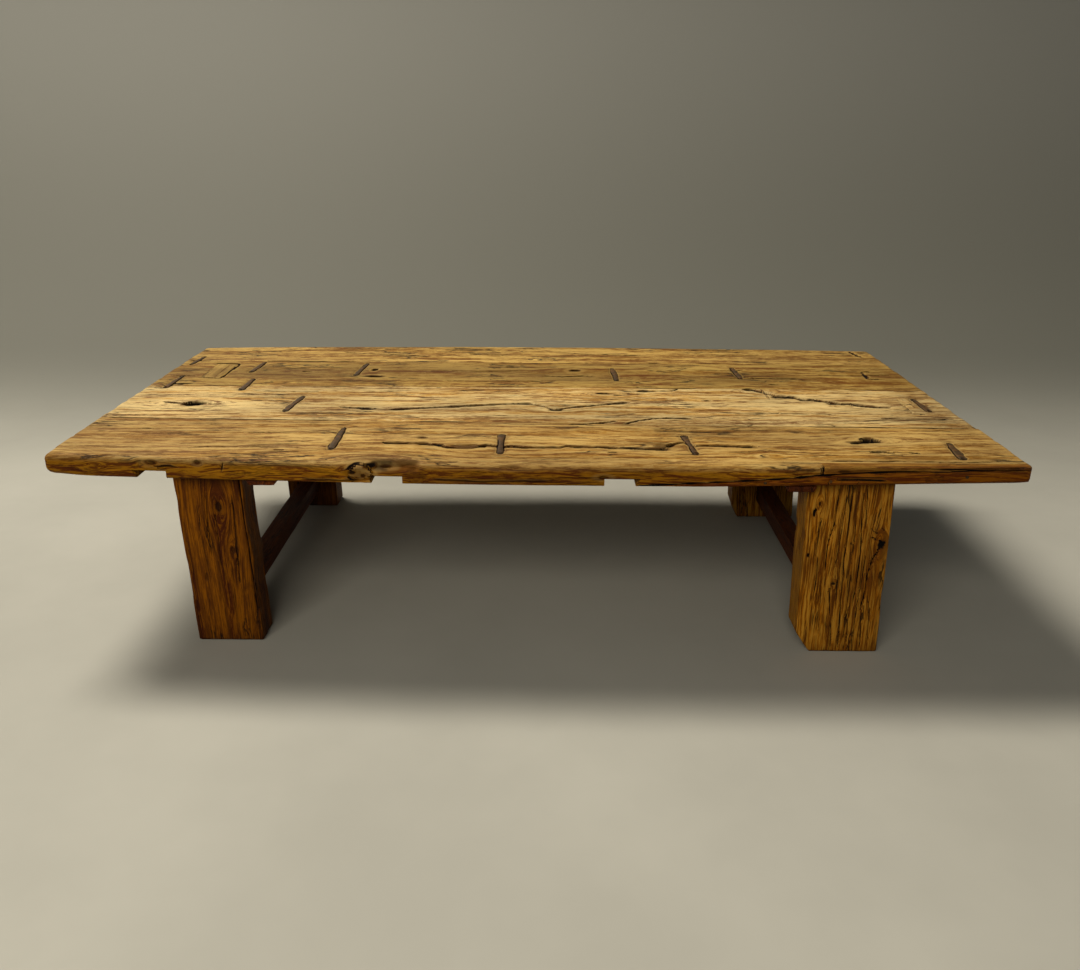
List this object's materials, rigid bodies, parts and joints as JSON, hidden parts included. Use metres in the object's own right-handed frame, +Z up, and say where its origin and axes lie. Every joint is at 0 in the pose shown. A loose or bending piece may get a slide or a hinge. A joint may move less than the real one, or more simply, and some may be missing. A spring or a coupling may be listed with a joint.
{
  "type": "kang table",
  "caption": "Low wooden table: a top of old door planks joined with iron cramps, on slab legs with battens and end stretchers.",
  "frame": {"origin": "on the floor, under the middle of the outline of the top", "axes": "+X along the table to the right, +Y from the front edge to the rear, +Z up"},
  "size_m": [1.8, 0.977, 0.398],
  "materials": {
    "plank_wood_orange": "old waxed softwood, warm orange brown",
    "plank_wood_pale": "old waxed softwood, lightest and yellowest of the planks",
    "plank_wood_grey": "old waxed softwood, darkened and greyish",
    "patch_wood": "let-in repair wood with its grain turned",
    "leg_wood_dark": "old dark red-brown wood, waxed and dented",
    "leg_wood_golden": "old golden brown wood, split and waxed",
    "batten_wood": "plain sawn wood, stained brown",
    "inner_wood": "clean sawn wood, not seen",
    "wrought_iron": "hand-forged iron, dark, with brown rust in its hollows"
  },
  "bodies": {
    "root": {"plank_front": "plank_wood_orange", "plank_centre_front": "plank_wood_pale", "plank_centre_rear": "plank_wood_grey", "plank_rear": "plank_wood_grey", "edge_strip_lower": "plank_wood_orange", "edge_strip_upper": "plank_wood_orange", "slot_plug": "plank_wood_orange", "strip_nails": "wrought_iron", "patch_left": "patch_wood", "patch_right": "patch_wood", "cramp_01": "wrought_iron", "cramp_02": "wrought_iron", "cramp_03": "wrought_iron", "cramp_04": "wrought_iron", "cramp_05": "wrought_iron", "cramp_06": "wrought_iron", "cramp_07": "wrought_iron", "cramp_08": "wrought_iron", "cramp_09": "wrought_iron", "cramp_10": "wrought_iron", "cramp_11": "wrought_iron", "cramp_12": "wrought_iron", "cramp_13": "wrought_iron", "keys_front_joint": "inner_wood", "keys_centre_joint": "inner_wood", "keys_rear_joint": "inner_wood", "batten_left": "batten_wood", "batten_right": "batten_wood", "leg_front_left": "leg_wood_dark", "leg_rear_left": "leg_wood_dark", "leg_front_right": "leg_wood_golden", "leg_rear_right": "leg_wood_golden", "stretcher_left": "batten_wood", "stretcher_right": "batten_wood"}
  },
  "joints": []
}
